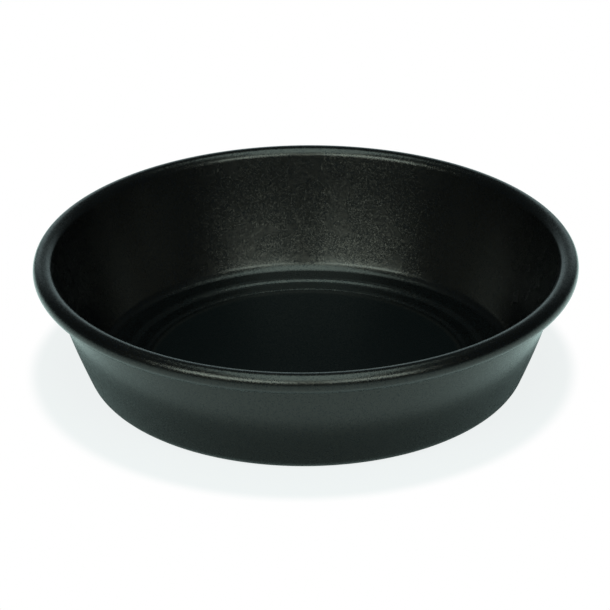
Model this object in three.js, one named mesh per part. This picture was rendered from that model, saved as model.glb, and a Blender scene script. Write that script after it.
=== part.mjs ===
// A small round tartlet tin with a loose base.
// A pressed steel ring has a flared side, a rim curled outwards round a wire and a ledge turned in at its foot.
// A plate with two shallow steps rests its border on the ledge and lifts straight out.
// Millimetres, +Z up. The tin stands on the plane z = 0 with its axis on Z.

import * as THREE from 'three';

// Overall size
const RIM_DIAMETER = 100;
const HEIGHT = 23.5;
const FOOT_DIAMETER = 79.8; // where the outside of the flared side, drawn on, would meet the table

// Ring
const RING_SHEET = 0.9;
const FOOT_RADIUS = 3.2; // outside radius between the side and the ledge
const LEDGE_OPENING = 69;
const CURL_MOUTH = 0.3; // gap between the cut edge of the curl and the side

// Wire in the rim
const WIRE_DIAMETER = 1.4;
const WIRE_CLEARANCE = 0.25;

// Loose base
const PLATE_SHEET = 0.7;
const PLATE_EDGE_CLEARANCE = 0.3; // from the plate's edge to where the ledge starts to curve up
const SEAT_CLEARANCE = 0.1; // between the plate's border and the ledge
const SHOULDER_CLEARANCE = 0.4; // from the plate's outer step, the shoulder, to the ledge's opening
const SHOULDER_RUN = 1.8; // width of the shoulder, seen from above
const SHOULDER_DROP = 0.45;
const PANEL_DIAMETER = 60.5; // where the plate's inner step starts to drop to the sunk panel
const PANEL_RUN = 1.2; // width of the inner step, seen from above
const TABLE_CLEARANCE = 0.2; // the panel hangs this far above the table

// Facets
const TURN_FACETS = 72;
const ARC_FACET = Math.PI / 10;
const CUT_EDGE_FACETS = 4;
const WIRE_FACETS = 12;

// Rim: the side runs on into a curl about the wire, and its outside touches the circle inside the curl
const curlInner = WIRE_DIAMETER / 2 + WIRE_CLEARANCE;
const curlOuter = curlInner + RING_SHEET;
const curlCentre = new THREE.Vector2(RIM_DIAMETER / 2 - curlOuter, HEIGHT - curlOuter);

// Side: its tilt from upright follows from the foot and the curl
const foot = new THREE.Vector2(FOOT_DIAMETER / 2, 0);
const footToCurl = curlCentre.clone().sub(foot);
const tilt = Math.atan2(footToCurl.x, footToCurl.y) - Math.asin(curlInner / footToCurl.length());

// Foot: the ledge is flat out to the radius where the corner starts to curve up
const ledgeFlat = foot.x - FOOT_RADIUS * Math.tan((Math.PI / 2 - tilt) / 2);
const cornerCentre = new THREE.Vector2(ledgeFlat, FOOT_RADIUS);

// Plate: its border lies on the ledge, and the rest drops into the ledge's opening
const plateRadius = ledgeFlat - PLATE_EDGE_CLEARANCE;
const shoulderOuter = LEDGE_OPENING / 2 - SHOULDER_CLEARANCE;
const borderHeight = RING_SHEET + SEAT_CLEARANCE + PLATE_SHEET / 2; // middle of the sheet, as are the next two
const terraceHeight = borderHeight - SHOULDER_DROP;
const panelHeight = TABLE_CLEARANCE + PLATE_SHEET / 2;

const coating = { color: 0x2b302e, roughness: 0.42, metalness: 0.35 };
const ringFinish = new THREE.MeshStandardMaterial(coating);
const plateFinish = new THREE.MeshStandardMaterial(coating);
const wireFinish = new THREE.MeshStandardMaterial({ color: 0x8c9091, roughness: 0.4, metalness: 1 });

/** Points of an arc of a half section, from one angle to another, the short or the long way as they are given. */
function arc(centre, radius, from, to, facets = Math.ceil(Math.abs(to - from) / ARC_FACET)) {
  const curve = new THREE.EllipseCurve(centre.x, centre.y, radius, radius, from, to, to < from);
  return curve.getPoints(facets);
}

/** Points of an arc that runs on through several angles, each of which becomes a point. */
function arcThrough(centre, radius, ...angles) {
  const stretches = angles.slice(1).map((to, index) => arc(centre, radius, angles[index], to));
  return stretches.flatMap((points, index) => (index ? points.slice(1) : points));
}

/** A solid turned from a half section, whose points run anticlockwise with radius to the right and Z up. */
function turned(name, section, material) {
  const geometry = new THREE.LatheGeometry(section, TURN_FACETS);
  geometry.rotateX(Math.PI / 2);
  const mesh = new THREE.Mesh(geometry, material);
  mesh.name = name;
  return mesh;
}

/** The pressed ring: ledge, rounded foot, flared side and the rim's open curl, all of one sheet. */
function sideRing() {
  const sideStart = Math.PI - tilt;
  const reach = Math.acos((curlInner - CURL_MOUTH) / curlOuter);
  const curlEnd = sideStart - 2 * Math.PI + reach;
  const cutCentre = new THREE.Vector2((LEDGE_OPENING + RING_SHEET) / 2, RING_SHEET / 2);
  const section = [
    ...arc(cornerCentre, FOOT_RADIUS, -Math.PI / 2, -tilt),
    ...arc(curlCentre, curlInner, sideStart, curlEnd),
    ...arcThrough(curlCentre, curlOuter, curlEnd, 0, Math.PI / 2, sideStart),
    ...arc(cornerCentre, FOOT_RADIUS - RING_SHEET, -tilt, -Math.PI / 2),
    ...arc(cutCentre, RING_SHEET / 2, Math.PI / 2, 1.5 * Math.PI, CUT_EDGE_FACETS),
  ];
  section.push(section[0].clone());
  return turned('side_ring', section, ringFinish);
}

/** The wire that stiffens the rim, a closed hoop in the middle of the curl. */
function rimWire() {
  return turned('rim_wire', arc(curlCentre, WIRE_DIAMETER / 2, 0, 2 * Math.PI, WIRE_FACETS), wireFinish);
}

/** Both faces of a step in the plate: two equal bends between a low flat inside and a high flat outside. */
function step(outer, run, low, high) {
  const half = PLATE_SHEET / 2;
  const bend = 2 * Math.atan2(high - low, run);
  const radius = run / (2 * Math.sin(bend));
  const lower = new THREE.Vector2(outer - run, low + radius);
  const upper = new THREE.Vector2(outer, high - radius);
  const down = -Math.PI / 2;
  const up = Math.PI / 2;
  return {
    under: [
      ...arc(lower, radius + half, down, down + bend),
      ...arc(upper, radius - half, up + bend, up).slice(1),
    ],
    over: [
      ...arc(upper, radius + half, up, up + bend),
      ...arc(lower, radius - half, down + bend, down).slice(1),
    ],
  };
}

/** The loose base: a sunk panel, a step, a flat terrace, the shoulder and a flat border with a rounded edge. */
function looseBase() {
  const half = PLATE_SHEET / 2;
  const inner = step(PANEL_DIAMETER / 2, PANEL_RUN, panelHeight, terraceHeight);
  const shoulder = step(shoulderOuter, SHOULDER_RUN, terraceHeight, borderHeight);
  const edge = new THREE.Vector2(plateRadius - half, borderHeight);
  const section = [
    new THREE.Vector2(0, panelHeight - half),
    ...inner.under,
    ...shoulder.under,
    ...arc(edge, half, -Math.PI / 2, Math.PI / 2, CUT_EDGE_FACETS),
    ...shoulder.over,
    ...inner.over,
    new THREE.Vector2(0, panelHeight + half),
  ];
  return turned('loose_base', section, plateFinish);
}

const tin = new THREE.Group();
tin.add(sideRing(), rimWire(), looseBase());

export default tin;
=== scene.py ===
"""The looks of a small non-stick tartlet tin with a loose base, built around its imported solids.

Everything is in metres, in the frame of the solids: +Z up, the tin standing on z = 0 with its axis on Z.
"""

import logging
import math
from dataclasses import dataclass
from enum import Enum
from typing import Any, Dict, List, Optional, Tuple, Union

import bpy
from mathutils import Matrix, Vector


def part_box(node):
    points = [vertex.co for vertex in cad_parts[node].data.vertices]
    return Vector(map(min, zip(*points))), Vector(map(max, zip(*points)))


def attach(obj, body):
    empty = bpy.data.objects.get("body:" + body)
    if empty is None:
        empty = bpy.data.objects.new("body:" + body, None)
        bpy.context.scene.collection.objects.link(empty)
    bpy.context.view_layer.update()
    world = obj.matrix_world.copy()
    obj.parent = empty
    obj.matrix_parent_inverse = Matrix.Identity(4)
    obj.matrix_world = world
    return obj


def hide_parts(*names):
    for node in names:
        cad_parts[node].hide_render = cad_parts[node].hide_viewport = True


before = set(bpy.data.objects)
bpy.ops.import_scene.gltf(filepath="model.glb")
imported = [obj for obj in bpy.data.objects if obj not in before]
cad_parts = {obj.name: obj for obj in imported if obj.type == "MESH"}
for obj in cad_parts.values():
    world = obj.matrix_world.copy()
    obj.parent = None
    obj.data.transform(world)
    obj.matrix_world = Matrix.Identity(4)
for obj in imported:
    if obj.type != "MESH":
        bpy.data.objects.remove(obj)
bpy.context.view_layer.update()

LOG = logging.getLogger("tartlet_tin")
MM = 0.001
PLATE_EDGE_CLEARANCE = 0.3 * MM  # from the plate's edge to where the ledge starts to curve up
PICTURE_SIDE = 610  # pixels
SENSOR = 36.0  # millimetres, as cameras are given

Colour = Tuple[float, float, float]
Span = Tuple[float, float]  # where a fade is none, and where it is full
WHITE: Colour = (1.0, 1.0, 1.0)
Operand = Union["Signal", float]


def opaque(colour: Colour) -> Tuple[float, float, float, float]:
    """The colour with a full alpha, as node sockets take it."""
    return (*colour, 1.0)


class Body(Enum):
    """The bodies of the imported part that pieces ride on."""

    RING = "ring"
    BASE = "base"


class Signal:
    """A node socket that can stand in a Python expression: arithmetic on it adds Math nodes."""

    def __init__(self, graph: "Graph", socket: bpy.types.NodeSocket) -> None:
        """Keeps the socket and the graph that it belongs to."""
        self.graph = graph
        self.socket = socket

    def __add__(self, other: Operand) -> "Signal":
        """This plus another value."""
        return self.graph.math("ADD", self, other)

    def __radd__(self, other: Operand) -> "Signal":
        """Another value plus this."""
        return self.graph.math("ADD", other, self)

    def __sub__(self, other: Operand) -> "Signal":
        """This less another value."""
        return self.graph.math("SUBTRACT", self, other)

    def __rsub__(self, other: Operand) -> "Signal":
        """Another value less this."""
        return self.graph.math("SUBTRACT", other, self)

    def __mul__(self, other: Operand) -> "Signal":
        """This times another value."""
        return self.graph.math("MULTIPLY", self, other)

    def __rmul__(self, other: Operand) -> "Signal":
        """Another value times this."""
        return self.graph.math("MULTIPLY", other, self)

    def __truediv__(self, other: Operand) -> "Signal":
        """This over another value."""
        return self.graph.math("DIVIDE", self, other)

    def __rtruediv__(self, other: Operand) -> "Signal":
        """Another value over this."""
        return self.graph.math("DIVIDE", other, self)

    def __gt__(self, other: Operand) -> "Signal":
        """One where this is greater than another value, else zero."""
        return self.graph.math("GREATER_THAN", self, other)


class Graph:
    """Adds nodes to one node tree, of a material, of the world or of Geometry Nodes."""

    def __init__(self, tree: bpy.types.NodeTree) -> None:
        """Keeps the tree that the nodes go into."""
        self.tree = tree

    @staticmethod
    def find(sockets: Any, name: str) -> bpy.types.NodeSocket:
        """Finds a socket by its identifier, or else by its name.

        Args:
            sockets: A node's inputs or outputs.
            name: The identifier or the name.

        Returns:
            The socket.
        """
        for socket in sockets:
            if socket.identifier == name:
                return socket
        return sockets[name]

    def node(
        self,
        kind: str,
        settings: Optional[Dict[str, Any]] = None,
        inputs: Optional[Dict[str, Any]] = None,
    ) -> bpy.types.Node:
        """Adds a node.

        Args:
            kind: The node's type.
            settings: Its own options, which are set first.
            inputs: A value or a signal for each socket, by identifier or name.

        Returns:
            The new node.
        """
        node = self.tree.nodes.new(kind)
        for name, value in (settings or {}).items():
            setattr(node, name, value)
        for name, value in (inputs or {}).items():
            socket = self.find(node.inputs, name)
            if isinstance(value, Signal):
                self.tree.links.new(value.socket, socket)
            else:
                socket.default_value = value
        return node

    def take(
        self,
        output: str,
        kind: str,
        settings: Optional[Dict[str, Any]] = None,
        inputs: Optional[Dict[str, Any]] = None,
    ) -> Signal:
        """Adds a node as the method node does.

        Args:
            output: The identifier or name of the output that is wanted.
            kind: The node's type.
            settings: Its own options.
            inputs: A value or a signal for each socket.

        Returns:
            That output as a signal.
        """
        return self.out(self.node(kind, settings, inputs), output)

    def out(self, node: bpy.types.Node, output: str) -> Signal:
        """One output of a node, as a signal."""
        return Signal(self, self.find(node.outputs, output))

    def math(self, operation: str, *values: Operand) -> Signal:
        """Adds a Math node.

        Args:
            operation: What it does.
            values: Its operands, numbers or signals.

        Returns:
            Its result.
        """
        node = self.node("ShaderNodeMath", {"operation": operation})
        for socket, value in zip(node.inputs, values):
            if isinstance(value, Signal):
                self.tree.links.new(value.socket, socket)
            else:
                socket.default_value = value
        return self.out(node, "Value")

    def blend(self, share: Operand, first: Any, second: Any) -> Signal:
        """Mixes two colours.

        Args:
            share: How much of the second there is.
            first: A colour with alpha, or a signal.
            second: A colour with alpha, or a signal.

        Returns:
            The mixed colour.
        """
        inputs = {"Factor_Float": share, "A_Color": first, "B_Color": second}
        return self.take("Result_Color", "ShaderNodeMix", {"data_type": "RGBA"}, inputs)

    def fade(self, value: Signal, none: float, full: float) -> Signal:
        """Rises smoothly from 0 to 1.

        Args:
            value: What it depends on.
            none: The value at which it is 0.
            full: The value at which it is 1.

        Returns:
            The share.
        """
        low, high = min(none, full), max(none, full)
        ends = (0.0, 1.0) if none < full else (1.0, 0.0)
        inputs = {"Value": value, "From Min": low, "From Max": high, "To Min": ends[0], "To Max": ends[1]}
        return self.take("Result", "ShaderNodeMapRange", {"interpolation_type": "SMOOTHSTEP"}, inputs)

    def vector(self, operation: str, **inputs: Any) -> Signal:
        """Adds a Vector Math node, whose sockets are named by identifier, and returns its vector."""
        return self.take("Vector", "ShaderNodeVectorMath", {"operation": operation}, inputs)

    def length(self, vector: Signal) -> Signal:
        """Adds a Vector Math node and returns the vector's length."""
        return self.take("Value", "ShaderNodeVectorMath", {"operation": "LENGTH"}, {"Vector": vector})

    def noise(self, place: Signal, size: float, detail: float) -> Signal:
        """Adds a Noise Texture.

        Args:
            place: Where it is looked up.
            size: The size of its largest forms.
            detail: How many finer layers it has.

        Returns:
            A value that is about 0.5 on average.
        """
        inputs = {"Vector": place, "Scale": 1 / size, "Detail": detail}
        return self.take("Fac", "ShaderNodeTexNoise", None, inputs)

    def sight(self) -> Tuple[Signal, Signal]:
        """Adds a Light Path node.

        Returns:
            One for rays from the camera, and one for rays that were mirrored or let through.
        """
        path = self.node("ShaderNodeLightPath")
        mirrored = self.out(path, "Is Glossy Ray") + self.out(path, "Is Transmission Ray")
        return self.out(path, "Is Camera Ray"), mirrored


def new_material(name: str) -> Tuple[bpy.types.Material, Graph]:
    """Makes an empty material.

    Args:
        name: The material's name.

    Returns:
        The material and a graph of its node tree.
    """
    material = bpy.data.materials.new(name)
    material.use_nodes = True
    material.node_tree.nodes.clear()
    return material, Graph(material.node_tree)


@dataclass(frozen=True)
class NonstickFinish:
    """A baked non-stick coating: near-black resin with fine metal flecks under a satin skin."""

    name: str
    resin: Colour = (0.0012, 0.0019, 0.0036)
    fleck: Colour = (0.0278, 0.0248, 0.0223)
    fleck_size: float = 0.14 * MM
    fleck_share: float = 0.85
    fleck_lean: float = 0.1
    fleck_roughness: float = 0.27
    fleck_edge: float = 0.75  # share of a mirror's flare that the flecks have at a slant
    fleck_cover: float = 0.85  # share of a fleck that shows where the mottle is 0
    fleck_cover_gain: float = 0.3  # what a mottle of 1 adds to it
    resin_roughness: float = 0.5
    resin_gloss: float = 0.1
    skin: float = 1.0  # share of a full gloss skin's reflection
    skin_roughness: float = 0.22
    skin_index: float = 1.3  # of refraction: a fluoropolymer's, below that of a common varnish
    mottle_size: float = 7 * MM
    mottle_detail: float = 3.0
    mottle_depth: float = 0.12  # in roughness
    shaded_middle: float = 0.0  # radius of the middle that is dulled and darkened as painted shade: fewer flecks and less skin show there
    shaded_middle_edge: float = 1.5 * MM
    shaded_middle_left: float = 0.1  # share of the flecks and of the skin that is left in the painted-shade middle

    def make(self) -> bpy.types.Material:
        """Builds the material.

        Returns:
            The finished material.
        """
        material, graph = new_material(self.name)
        place = graph.take("Object", "ShaderNodeTexCoord")
        cells = graph.node(
            "ShaderNodeTexVoronoi", {"feature": "F1"}, {"Vector": place, "Scale": 1 / self.fleck_size}
        )
        lot = graph.take("Value", "ShaderNodeTexWhiteNoise", None, {"Vector": graph.out(cells, "Position")})
        mottle = graph.noise(place, self.mottle_size, self.mottle_detail)
        # painted shade: inside the shaded middle fewer flecks and less skin show, so it looks darker and
        # duller
        unshaded = graph.fade(graph.length(place), self.shaded_middle - self.shaded_middle_edge, self.shaded_middle)
        left = self.shaded_middle_left + (1 - self.shaded_middle_left) * unshaded
        mask = lot > (1 - self.fleck_share)
        shown = mask * (self.fleck_cover + self.fleck_cover_gain * mottle) * left
        colour = graph.blend(shown, opaque(self.resin), opaque(self.fleck))
        roughness = (
            self.resin_roughness
            + mask * (self.fleck_roughness - self.resin_roughness)
            + (mottle - 0.5) * self.mottle_depth
        )
        upright = graph.take("Normal", "ShaderNodeNewGeometry")
        centred = graph.vector("SUBTRACT", Vector=graph.out(cells, "Color"), Vector_001=(0.5, 0.5, 0.5))
        lean = graph.vector("SCALE", Vector=centred, Scale=mask * (2 * self.fleck_lean))
        leaning = graph.vector("ADD", Vector=upright, Vector_001=lean)
        normal = graph.vector("NORMALIZE", Vector=leaning)
        shader = graph.node(
            "ShaderNodeBsdfPrincipled",
            None,
            {
                "Base Color": colour,
                "Metallic": shown,
                "Roughness": roughness,
                "Normal": normal,
                "Specular IOR Level": self.resin_gloss,
                "Specular Tint": opaque((self.fleck_edge,) * 3),
                "Coat Weight": self.skin * left,
                "Coat Roughness": self.skin_roughness,
                "Coat IOR": self.skin_index,
            },
        )
        graph.node("ShaderNodeOutputMaterial", None, {"Surface": graph.out(shader, "BSDF")})
        return material


@dataclass(frozen=True)
class WireFinish:
    """Bare drawn steel with a fine grain."""

    name: str
    steel: Colour = (0.36, 0.37, 0.37)
    roughness: float = 0.38
    grain_size: float = 0.5 * MM
    grain_detail: float = 4.0
    grain_shade: float = 0.7  # of the darkest grain, as a share of the steel's colour
    grain_depth: float = 0.2  # in roughness

    def make(self) -> bpy.types.Material:
        """Builds the material.

        Returns:
            The finished material.
        """
        material, graph = new_material(self.name)
        place = graph.take("Object", "ShaderNodeTexCoord")
        grain = graph.noise(place, self.grain_size, self.grain_detail)
        darker = tuple(self.grain_shade * part for part in self.steel)
        shader = graph.node(
            "ShaderNodeBsdfPrincipled",
            None,
            {
                "Base Color": graph.blend(grain, opaque(self.steel), opaque(darker)),
                "Metallic": 1.0,
                "Roughness": self.roughness + (grain - 0.5) * self.grain_depth,
            },
        )
        graph.node("ShaderNodeOutputMaterial", None, {"Surface": graph.out(shader, "BSDF")})
        return material


RING_FINISH = NonstickFinish("ring_nonstick")
# painted light: the plate's resin is lighter than the ring's, though both are one coating, to paint in a
# faint haze of light
PLATE_FINISH = NonstickFinish(
    # painted shade on the plate's sunk middle, out to 29.8 mm
    "base_nonstick", resin=(0.0018, 0.003, 0.0036), fleck_share=0.7, skin=0.85, shaded_middle=29.8 * MM
)
WIRE_FINISH = WireFinish("wire_steel")


class Section:
    """A half section of a turned piece: points of radius and height that run anticlockwise."""

    ARC_STEP = math.radians(7.5)
    RUN_STEP = 1.6 * MM
    SUPPORT = 0.12 * MM  # points this near both ends of a straight run keep its shading flat
    SAME_POINT = 1e-9

    def __init__(self) -> None:
        """Starts with no points."""
        self.points: List[Vector] = []

    def to(self, radius: float, height: float) -> "Section":
        """Runs straight on to a point, with points in between.

        Args:
            radius: The point's distance from the axis.
            height: Its height.

        Returns:
            This section.
        """
        end = Vector((radius, height))
        if self.points:
            start = self.points[-1]
            length = (end - start).length
            if length < self.SAME_POINT:
                return self
            if length > 4 * self.SUPPORT:
                inner = length - 2 * self.SUPPORT
                pieces = max(1, math.ceil(inner / self.RUN_STEP))
                for index in range(pieces + 1):
                    share = (self.SUPPORT + inner * index / pieces) / length
                    self.points.append(start.lerp(end, share))
        self.points.append(end)
        return self

    def arc(self, centre: Vector, radius: float, start: float, end: float) -> "Section":
        """Runs straight to the start of an arc and along it.

        Args:
            centre: The arc's centre.
            radius: Its radius.
            start: The angle where it starts, in radians.
            end: The angle where it ends: above the start it runs anticlockwise.

        Returns:
            This section.
        """
        turn = abs(end - start)
        steps = max(2, math.ceil(turn / self.ARC_STEP), math.ceil(radius * turn / self.RUN_STEP))
        for index in range(steps + 1):
            angle = start + (end - start) * index / steps
            point = centre + radius * Vector((math.cos(angle), math.sin(angle)))
            if index == 0:
                self.to(*point)
            else:
                self.points.append(point)
        return self

    def closed(self) -> "Section":
        """Runs straight back to the first point."""
        return self.to(*self.points[0])


class Lathe:
    """Turns half sections about the Z axis with one Geometry Nodes tree."""

    FACETS = 240
    WELD = 0.004 * MM

    def __init__(self) -> None:
        """Builds the tree and keeps the identifiers of its named inputs."""
        self.tree = bpy.data.node_groups.new("turned_section", "GeometryNodeTree")
        face = self.tree.interface
        face.new_socket("Section", in_out="INPUT", socket_type="NodeSocketGeometry")
        self.facets = face.new_socket("Facets", in_out="INPUT", socket_type="NodeSocketInt").identifier
        self.weld = face.new_socket("Weld", in_out="INPUT", socket_type="NodeSocketFloat").identifier
        self.finish = face.new_socket("Finish", in_out="INPUT", socket_type="NodeSocketMaterial").identifier
        face.new_socket("Piece", in_out="OUTPUT", socket_type="NodeSocketGeometry")
        self.grow()

    def grow(self) -> None:
        """Adds the nodes: a grid whose rows are the section's points, each turned to its place."""
        graph = Graph(self.tree)
        given = graph.node("NodeGroupInput")
        section = graph.out(given, "Section")
        facets = graph.out(given, "Facets")
        count = graph.take(
            "Point Count", "GeometryNodeAttributeDomainSize", {"component": "MESH"}, {"Geometry": section}
        )
        grid = graph.take(
            "Mesh", "GeometryNodeMeshGrid", None, {"Vertices X": facets + 1, "Vertices Y": count}
        )
        index = graph.take("Index", "GeometryNodeInputIndex")
        turn = graph.math("FLOOR", index / count)
        spot = graph.take("Position", "GeometryNodeInputPosition")
        point = graph.take(
            "Value",
            "GeometryNodeSampleIndex",
            {"data_type": "FLOAT_VECTOR", "domain": "POINT"},
            {"Geometry": section, "Value": spot, "Index": index - turn * count},
        )
        parts = graph.node("ShaderNodeSeparateXYZ", None, {"Vector": point})
        radius = graph.out(parts, "X")
        angle = turn * math.tau / facets
        place = graph.take(
            "Vector",
            "ShaderNodeCombineXYZ",
            None,
            {
                "X": radius * graph.math("COSINE", angle),
                "Y": radius * graph.math("SINE", angle),
                "Z": graph.out(parts, "Z"),
            },
        )
        turned = graph.take(
            "Geometry", "GeometryNodeSetPosition", None, {"Geometry": grid, "Position": place}
        )
        welded = graph.take(
            "Geometry",
            "GeometryNodeMergeByDistance",
            None,
            {"Geometry": turned, "Distance": graph.out(given, "Weld")},
        )
        smooth = graph.take(
            "Geometry", "GeometryNodeSetShadeSmooth", None, {"Geometry": welded, "Shade Smooth": True}
        )
        whole = graph.take("Geometry", "GeometryNodeRealizeInstances", None, {"Geometry": smooth})
        dressed = graph.take(
            "Geometry",
            "GeometryNodeSetMaterial",
            None,
            {"Geometry": whole, "Material": graph.out(given, "Finish")},
        )
        graph.node("NodeGroupOutput", None, {"Piece": dressed})

    def turn(self, name: str, section: Section, material: bpy.types.Material) -> bpy.types.Object:
        """Turns a section into a piece with a plain mesh.

        Args:
            name: The piece's name.
            section: Its half section.
            material: Its finish.

        Returns:
            The piece, at the origin, with its place in its mesh.
        """
        outline = bpy.data.meshes.new(name + "_section")
        outline.from_pydata([(point.x, 0.0, point.y) for point in section.points], [], [])
        blank = bpy.data.objects.new(name + "_blank", outline)
        bpy.context.scene.collection.objects.link(blank)
        modifier = blank.modifiers.new("turn", "NODES")
        modifier.node_group = self.tree
        modifier[self.facets] = self.FACETS
        modifier[self.weld] = self.WELD
        modifier[self.finish] = material
        depsgraph = bpy.context.evaluated_depsgraph_get()
        mesh = bpy.data.meshes.new_from_object(blank.evaluated_get(depsgraph))
        mesh.name = name
        bpy.data.objects.remove(blank)
        bpy.data.meshes.remove(outline)
        piece = bpy.data.objects.new(name, mesh)
        bpy.context.scene.collection.objects.link(piece)
        return piece


@dataclass
class SideRing:
    """The pressed ring of the tin with the wire in its rim."""

    lathe: Lathe
    rim_diameter: float
    height: float
    foot_flat: float  # radius where the ledge starts to curve up into the side
    sheet: float = 0.9 * MM
    foot_radius: float = 3.2 * MM
    bow_radius: float = 150 * MM  # of the gentle bow in the side
    bow_turn: float = math.radians(6.5)
    ledge_opening: float = 69 * MM
    curl_mouth: float = 0.03 * MM
    wire_diameter: float = 1.4 * MM
    wire_clearance: float = 0.25 * MM

    @property
    def curl_inner(self) -> float:
        """Radius of the hollow inside the curl."""
        return self.wire_diameter / 2 + self.wire_clearance

    @property
    def curl_outer(self) -> float:
        """Radius of the bead that the curl makes."""
        return self.curl_inner + self.sheet

    @property
    def curl_centre(self) -> Vector:
        """Radius and height of the curl's centre."""
        return Vector((self.rim_diameter / 2 - self.curl_outer, self.height - self.curl_outer))

    @property
    def corner(self) -> Vector:
        """Radius and height of the centre of the rounded foot."""
        return Vector((self.foot_flat, self.foot_radius))

    @property
    def tilt(self) -> float:
        """How far the upper side leans out from upright, in radians: it runs from the bow to the curl."""
        reach = self.curl_centre - self.corner
        bow = self.bow_radius - (self.bow_radius - self.foot_radius) * math.cos(self.bow_turn)
        return math.acos((self.curl_inner + bow) / reach.length) - math.atan2(reach.y, reach.x)

    def ring_section(self) -> Section:
        """Ledge, rounded foot, flared side and the rim's curl.

        Returns:
            The half section of the sheet.
        """
        upper = -self.tilt
        lower = upper - self.bow_turn
        facing = Vector((math.cos(lower), math.sin(lower)))
        bow = self.corner - (self.bow_radius - self.foot_radius) * facing
        side = math.pi - self.tilt
        reach = math.acos((self.curl_inner - self.curl_mouth) / self.curl_outer)
        end = side - math.tau + reach
        cut = Vector(((self.ledge_opening + self.sheet) / 2, self.sheet / 2))
        section = Section()
        section.arc(self.corner, self.foot_radius, -math.pi / 2, lower)
        section.arc(bow, self.bow_radius, lower, upper)
        section.arc(self.curl_centre, self.curl_inner, side, end)
        section.arc(self.curl_centre, self.curl_outer, end, side)
        section.arc(bow, self.bow_radius - self.sheet, upper, lower)
        section.arc(self.corner, self.foot_radius - self.sheet, lower, -math.pi / 2)
        section.arc(cut, self.sheet / 2, math.pi / 2, 1.5 * math.pi)
        return section.closed()

    def build(self, coating: bpy.types.Material, steel: bpy.types.Material) -> List[bpy.types.Object]:
        """Makes the ring and the wire, ties them to their body and hides the imported parts that they
        replace.

        Args:
            coating: The ring's finish.
            steel: The wire's finish.

        Returns:
            The two pieces.
        """
        ring = self.lathe.turn("tin_side_ring", self.ring_section(), coating)
        hoop = Section().arc(self.curl_centre, self.wire_diameter / 2, 0.0, math.tau)
        wire = self.lathe.turn("tin_rim_wire", hoop, steel)
        for piece, node, slot in ((ring, "side_ring", "ring_coating"), (wire, "rim_wire", "wire_steel")):
            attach(piece, Body.RING.value)
            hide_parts(node)
        return [ring, wire]


@dataclass(frozen=True)
class Step:
    """A step in the plate: two equal bends between a low flat inside and a high flat outside."""

    outer: float
    run: float
    drop: float

    def bends(self, high: float, thickness: float) -> Tuple[List[Tuple[Vector, float, float, float]], ...]:
        """Works out the arcs of both faces.

        Args:
            high: Height of the middle of the sheet on the outer flat.
            thickness: The sheet's thickness.

        Returns:
            Centre, radius, start and end of the arcs of the underside, outwards, and of the top, inwards.
        """
        half = thickness / 2
        bend = 2 * math.atan2(self.drop, self.run)
        radius = self.run / (2 * math.sin(bend))
        lower = Vector((self.outer - self.run, high - self.drop + radius))
        upper = Vector((self.outer, high - radius))
        down, up = -math.pi / 2, math.pi / 2
        under = [(lower, radius + half, down, down + bend), (upper, radius - half, up + bend, up)]
        over = [(upper, radius + half, up, up + bend), (lower, radius - half, down + bend, down)]
        return under, over


@dataclass
class LooseBase:
    """The plate that lies on the ring's ledge."""

    lathe: Lathe
    diameter: float
    border_top: float
    sheet: float = 0.7 * MM
    shoulder: Step = Step(outer=34.2 * MM, run=1.7 * MM, drop=0.53 * MM)
    panel: Step = Step(outer=30.9 * MM, run=1.1 * MM, drop=0.27 * MM)

    def section(self) -> Section:
        """Sunk panel, a step, a flat terrace, the shoulder and a flat border with a rounded edge.

        Returns:
            The half section, from the axis to the axis.
        """
        half = self.sheet / 2
        border = self.border_top - half
        terrace = border - self.shoulder.drop
        middle = terrace - self.panel.drop
        panel_under, panel_over = self.panel.bends(terrace, self.sheet)
        shoulder_under, shoulder_over = self.shoulder.bends(border, self.sheet)
        edge = Vector((self.diameter / 2 - half, border))
        rim = (edge, half, -math.pi / 2, math.pi / 2)
        section = Section().to(0.0, middle - half)
        for bend in (*panel_under, *shoulder_under, rim, *shoulder_over, *panel_over):
            section.arc(*bend)
        return section.to(0.0, middle + half)

    def build(self, coating: bpy.types.Material) -> bpy.types.Object:
        """Makes the plate, ties it to its body and hides the imported plate.

        Args:
            coating: The plate's finish.

        Returns:
            The plate.
        """
        plate = self.lathe.turn("tin_loose_base", self.section(), coating)
        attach(plate, Body.BASE.value)
        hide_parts("loose_base")
        return plate


@dataclass(frozen=True)
class Lamp:
    """A soft box: an area lamp aimed at the tin."""

    name: str
    azimuth: float  # degrees from the camera's side, positive towards +X
    elevation: float  # degrees above the table
    width: float
    length: float
    radiance: float  # where 1 looks white
    tint: Colour
    distance: float = 0.6

    def hang(self, aim: Vector) -> bpy.types.Object:
        """Places the lamp.

        Args:
            aim: The point that it faces.

        Returns:
            The lamp.
        """
        light = bpy.data.lights.new(self.name, "AREA")
        light.shape = "RECTANGLE"
        light.size = self.width
        light.size_y = self.length
        light.energy = self.radiance * math.pi * self.width * self.length
        light.color = self.tint
        lamp = bpy.data.objects.new(self.name, light)
        azimuth, elevation = math.radians(self.azimuth), math.radians(self.elevation)
        level = math.cos(elevation)
        away = Vector((math.sin(azimuth) * level, -math.cos(azimuth) * level, math.sin(elevation)))
        lamp.location = aim + self.distance * away
        lamp.rotation_euler = (-away).to_track_quat("-Z", "Y").to_euler()
        bpy.context.scene.collection.objects.link(lamp)
        return lamp


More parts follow.
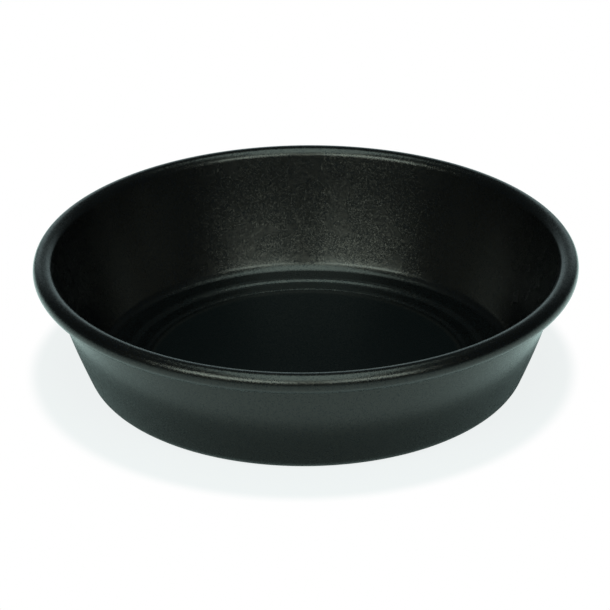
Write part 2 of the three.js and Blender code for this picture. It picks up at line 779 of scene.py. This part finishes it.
@dataclass
class Studio:
    """The pale floor, the lamps, the surroundings and the camera."""

    rim_radius: float
    height: float
    lamps: Tuple[Lamp, ...] = (
        Lamp("top_box", 0.0, 79.5, width=0.4, length=0.67, radiance=2.6, tint=(0.74, 1.0, 0.94)),
        Lamp("left_box", -31.0, 32.5, width=0.46, length=0.2, radiance=6.0, tint=(0.81, 1.0, 0.9)),
        Lamp("right_box", 25.5, 32.5, width=0.34, length=0.2, radiance=5.0, tint=(0.81, 1.0, 0.9)),
    )
    room: float = 0.06  # brightness of the dim room around
    backdrop: float = 0.6  # brightness of the backdrop in reflections
    backdrop_rise: Span = (0.48, 0.32)  # upward share of a direction, at the backdrop's upper edge
    backdrop_depth: Span = (0.75, 0.95)  # backward share of a direction, at its left and right edges
    tint: Colour = (0.74, 1.0, 0.955)  # of the painted white paper that reflections see round the tin
    dusk: Colour = (0.75, 0.98, 1.0)  # of the room and the backdrop in reflections
    shade: Colour = (0.8, 1.0, 1.0)  # the hue of the painted shade on the paper round the tin
    shade_middle: Tuple[float, float, float] = (-0.7 * MM, 0.35 * MM, 0.0)  # middle of the painted shade circle round the tin
    shade_edge: Span = (0.97, 1.04)  # in rim radii: where the painted shade fades into white
    mirrored_edge: Span = (0.96, 1.02)  # the painted shadow's edge in reflections: inside it they see the real shaded paper
    mirrored_end: Span = (4.0, 1.5)  # in rim radii, where the painted white of the floor in reflections fades out
    floor_radius: float = 3.0
    floor_corners: int = 64
    floor_depth: float = 0.02 * MM  # below the tin's foot
    paper: Colour = (0.45, 0.5, 0.52)
    floor_wash: float = 0.85  # share of plain white that the camera sees in the floor inside the painted shade; outside it, all white
    elevation: float = 25.547  # degrees
    distance: float = 12.198  # from the middle of the rim, in rim radii
    aim_height: float = 0.2519  # in rim radii
    aim_side: float = -0.004
    roll: float = -0.503  # degrees
    pixels_per_radius: float = 272.7  # at the middle of the rim

    def floor(self) -> bpy.types.Object:
        """Lays the floor: white, with painted shade round the tin over its real shadow, painted lit paper
        in reflections, clear from below.

        Returns:
            The floor.
        """
        mesh = bpy.data.meshes.new("floor")
        turns = [math.tau * index / self.floor_corners for index in range(self.floor_corners)]
        around = [self.floor_radius * Vector((math.cos(turn), math.sin(turn))) for turn in turns]
        points = [(spot.x, spot.y, -self.floor_depth) for spot in around]
        mesh.from_pydata(points, [], [tuple(range(self.floor_corners))])
        floor = bpy.data.objects.new("floor", mesh)
        bpy.context.scene.collection.objects.link(floor)
        material, graph = new_material("floor_paper")
        place = graph.take("Object", "ShaderNodeTexCoord")
        across = graph.vector("SUBTRACT", Vector=place, Vector_001=self.shade_middle)
        radii = graph.length(across) / self.rim_radius
        camera, mirrored = graph.sight()
        # painted shade: inside a circle round the tin the camera sees less emitted white, over the real
        # shadow that the diffuse share still shows
        plain = self.floor_wash + (1 - self.floor_wash) * graph.fade(radii, *self.shade_edge)
        # painted light in reflections: emitted white paper in a ring from the rim outwards, which makes a
        # painted shadow edge at the rim
        reflected = graph.fade(radii, *self.mirrored_edge) * graph.fade(radii, *self.mirrored_end)
        share = camera * plain + mirrored * reflected
        paper = graph.take("BSDF", "ShaderNodeBsdfDiffuse", None, {"Color": opaque(self.paper)})
        # the emitted colour: the painted shade's hue inside the circle for the camera, the painted white
        # paper's tint in reflections
        direct = graph.blend(plain, opaque(self.shade), opaque(WHITE))
        colour = graph.blend(camera, opaque(self.tint), direct)
        white = graph.take("Emission", "ShaderNodeEmission", None, {"Color": colour})
        lit = {"Fac": share, "Shader": paper, "Shader_001": white}
        front = graph.take("Shader", "ShaderNodeMixShader", None, lit)
        below = graph.take("Backfacing", "ShaderNodeNewGeometry")
        clear = graph.take("BSDF", "ShaderNodeBsdfTransparent")
        sides = {"Fac": below, "Shader": front, "Shader_001": clear}
        surface = graph.take("Shader", "ShaderNodeMixShader", None, sides)
        graph.node("ShaderNodeOutputMaterial", None, {"Surface": surface})
        mesh.materials.append(material)
        return floor

    def surroundings(self) -> None:
        """Makes the world: a dim room with a white backdrop, to look at and in reflections."""
        world = bpy.data.worlds.new("studio")
        world.use_nodes = True
        world.node_tree.nodes.clear()
        graph = Graph(world.node_tree)
        towards = graph.take("Generated", "ShaderNodeTexCoord")
        parts = graph.node("ShaderNodeSeparateXYZ", None, {"Vector": towards})
        low = graph.fade(graph.out(parts, "Z"), *self.backdrop_rise)
        behind = graph.fade(graph.out(parts, "Y"), *self.backdrop_depth)
        camera, mirrored = graph.sight()
        seen = camera + mirrored * low * behind * self.backdrop
        colour = graph.blend(camera, opaque(self.dusk), opaque(WHITE))
        sky = graph.take(
            "Background",
            "ShaderNodeBackground",
            None,
            {"Color": colour, "Strength": self.room + seen * (1 - self.room)},
        )
        graph.node("ShaderNodeOutputWorld", None, {"Surface": sky})
        bpy.context.scene.world = world

    def camera(self) -> bpy.types.Object:
        """Sets up the camera at the photograph's viewing angle.

        Returns:
            The camera.
        """
        lens = bpy.data.cameras.new("camera")
        lens.sensor_width = SENSOR
        lens.lens = SENSOR * self.pixels_per_radius * self.distance / PICTURE_SIDE
        camera = bpy.data.objects.new("camera", lens)
        elevation, roll = math.radians(self.elevation), math.radians(self.roll)
        away = self.distance * self.rim_radius
        place = Vector((0.0, -away * math.cos(elevation), self.height + away * math.sin(elevation)))
        aim = self.rim_radius * Vector((self.aim_side, 0.0, self.aim_height))
        ahead = (aim - place).normalized()
        level = ahead.cross(Vector((0.0, 0.0, 1.0))).normalized()
        upward = level.cross(ahead)
        right = level * math.cos(roll) + upward * math.sin(roll)
        above = upward * math.cos(roll) - level * math.sin(roll)
        turn = Matrix((right, above, -ahead)).transposed()
        camera.matrix_world = Matrix.Translation(place) @ turn.to_4x4()
        bpy.context.scene.collection.objects.link(camera)
        bpy.context.scene.camera = camera
        return camera

    def build(self) -> None:
        """Sets up everything around the tin."""
        self.camera()
        self.floor()
        self.surroundings()
        for lamp in self.lamps:
            lamp.hang(Vector((0.0, 0.0, self.height / 2)))
        bpy.context.scene.view_settings.view_transform = "Standard"


def report(piece: bpy.types.Object) -> None:
    """Logs a finished piece and how many faces it has."""
    LOG.info("%s: %d faces", piece.name, len(piece.data.polygons))


def main() -> None:
    """Builds the studio and the tin."""
    logging.basicConfig(level=logging.INFO)
    low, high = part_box("side_ring")
    plate_low, plate_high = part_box("loose_base")
    rim_diameter = high.x - low.x
    Studio(rim_radius=rim_diameter / 2, height=high.z).build()
    lathe = Lathe()
    foot_flat = plate_high.x + PLATE_EDGE_CLEARANCE
    ring = SideRing(lathe, rim_diameter=rim_diameter, height=high.z, foot_flat=foot_flat)
    for piece in ring.build(RING_FINISH.make(), WIRE_FINISH.make()):
        report(piece)
    base = LooseBase(lathe, diameter=plate_high.x - plate_low.x, border_top=plate_high.z)
    report(base.build(PLATE_FINISH.make()))


if __name__ == "__main__":
    main()
